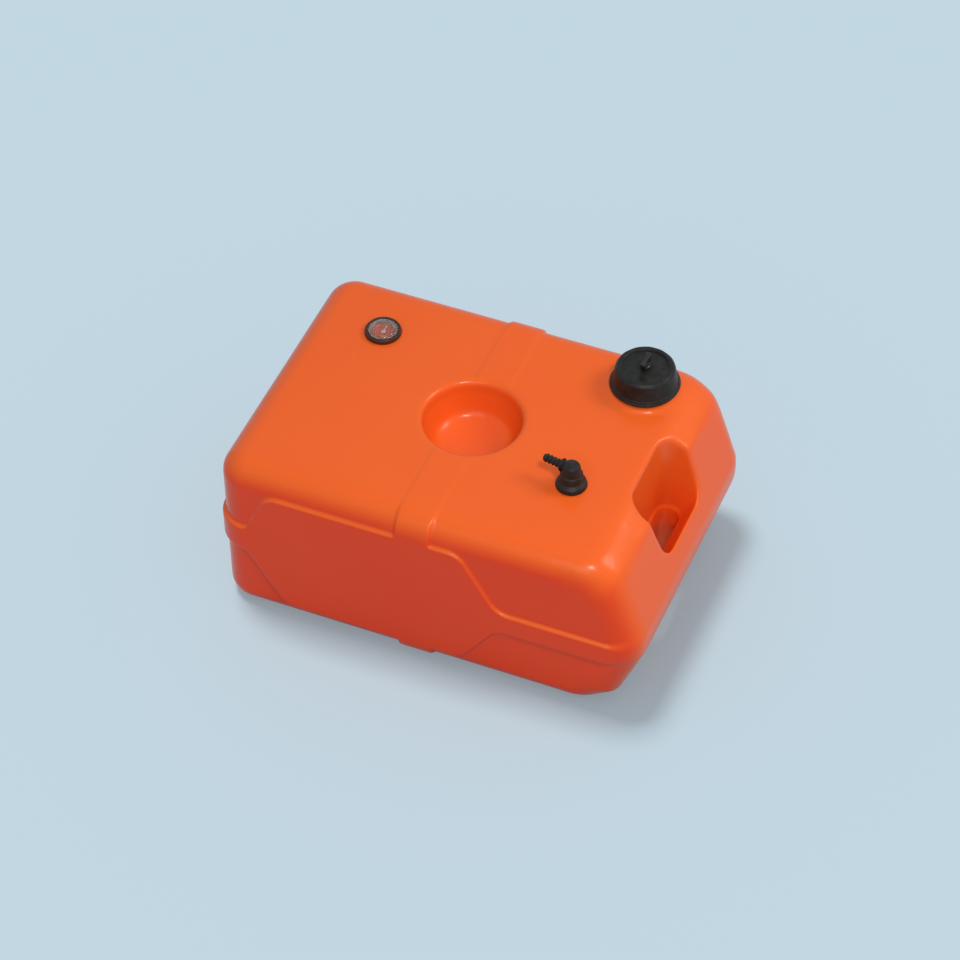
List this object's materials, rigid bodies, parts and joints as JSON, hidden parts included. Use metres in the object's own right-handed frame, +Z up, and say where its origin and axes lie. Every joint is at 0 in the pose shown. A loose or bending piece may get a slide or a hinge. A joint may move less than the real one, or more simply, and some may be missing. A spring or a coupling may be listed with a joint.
{
  "type": "outboard fuel tank",
  "caption": "Portable outboard fuel tank with filler cap and vent screw, float gauge, swivel hose outlet and moulded carrying handle.",
  "frame": {"origin": "middle of the tank's footprint, on the surface it stands on", "axes": "+X along the tank to the handle, +Y to the side with the filler cap, +Z up"},
  "size_m": [0.48, 0.334, 0.2454],
  "materials": {
    "shell_polyethylene": "satin, moulded, fine sand grain",
    "cap_plastic": "satin black",
    "vent_plastic": "satin black",
    "seal_rubber": "matt black rubber",
    "bezel_plastic": "dark",
    "lens_clear": "clear, polished",
    "gauge_plastic": "moulded",
    "dial_orange": "moulded",
    "pointer_white": "moulded",
    "bright_metal": "stainless",
    "float_foam": "closed-cell float",
    "outlet_plastic": "satin black",
    "tube_natural": "natural",
    "strainer_brass": "fine mesh"
  },
  "bodies": {
    "tank": {"tank_shell": "shell_polyethylene", "gauge_bezel": "bezel_plastic", "gauge_lens": "lens_clear", "gauge_gasket": "seal_rubber", "gauge_body": "gauge_plastic", "gauge_dial": "dial_orange", "gauge_guides": "bright_metal", "gauge_foot": "gauge_plastic", "outlet_gland": "outlet_plastic", "outlet_gasket": "seal_rubber", "pickup_tube": "tube_natural", "strainer": "strainer_brass"},
    "cap_ring": {"cap_gasket": "seal_rubber"},
    "cap": {"cap_cover": "cap_plastic", "cap_insert": "cap_plastic"},
    "vent_ring": {"vent_seal": "seal_rubber"},
    "vent": {"vent_screw": "vent_plastic"},
    "float": {"gauge_float": "float_foam", "float_follower": "bright_metal"},
    "needle": {"gauge_spindle": "bright_metal", "gauge_pointer": "pointer_white"},
    "elbow": {"outlet_elbow": "outlet_plastic", "elbow_seal": "seal_rubber", "elbow_clip": "bright_metal"}
  },
  "joints": [
    {"name": "cap_rise", "type": "slide", "parent": "tank", "child": "cap_ring", "axis": [0, 0, 1], "range_m": [0, 0.01802]},
    {"name": "cap_turn", "type": "hinge", "parent": "cap_ring", "child": "cap", "pos_m": [0.1422, 0.111, 0.205], "axis": [0, 0, 1], "range_deg": [0, 1080]},
    {"name": "vent_rise", "type": "slide", "parent": "cap", "child": "vent_ring", "axis": [0, 0, 1], "range_m": [0, 0.003]},
    {"name": "vent_turn", "type": "hinge", "parent": "vent_ring", "child": "vent", "pos_m": [0.1422, 0.111, 0.235], "axis": [0, 0, 1], "range_deg": [0, 721]},
    {"name": "float_slide", "type": "slide", "parent": "tank", "child": "float", "axis": [0, 0, 1], "range_m": [0, 0.15]},
    {"name": "gauge_turn", "type": "hinge", "parent": "tank", "child": "needle", "pos_m": [-0.1484, 0.0829, 0.205], "axis": [0, 0, 1], "range_deg": [-270.5, 0]},
    {"name": "outlet_swivel", "type": "hinge", "parent": "tank", "child": "elbow", "pos_m": [0.1234, -0.0529, 0.205], "axis": [0, 0, 1], "continuous": true}
  ],
  "couplings": [
    {"joint": "cap_rise", "follows": "cap_turn", "m_per_rad": 0.00095493},
    {"joint": "vent_turn", "follows": "vent_rise", "rad_per_m": 4188.8},
    {"joint": "gauge_turn", "follows": "float_slide", "rad_per_m": -31.416}
  ]
}
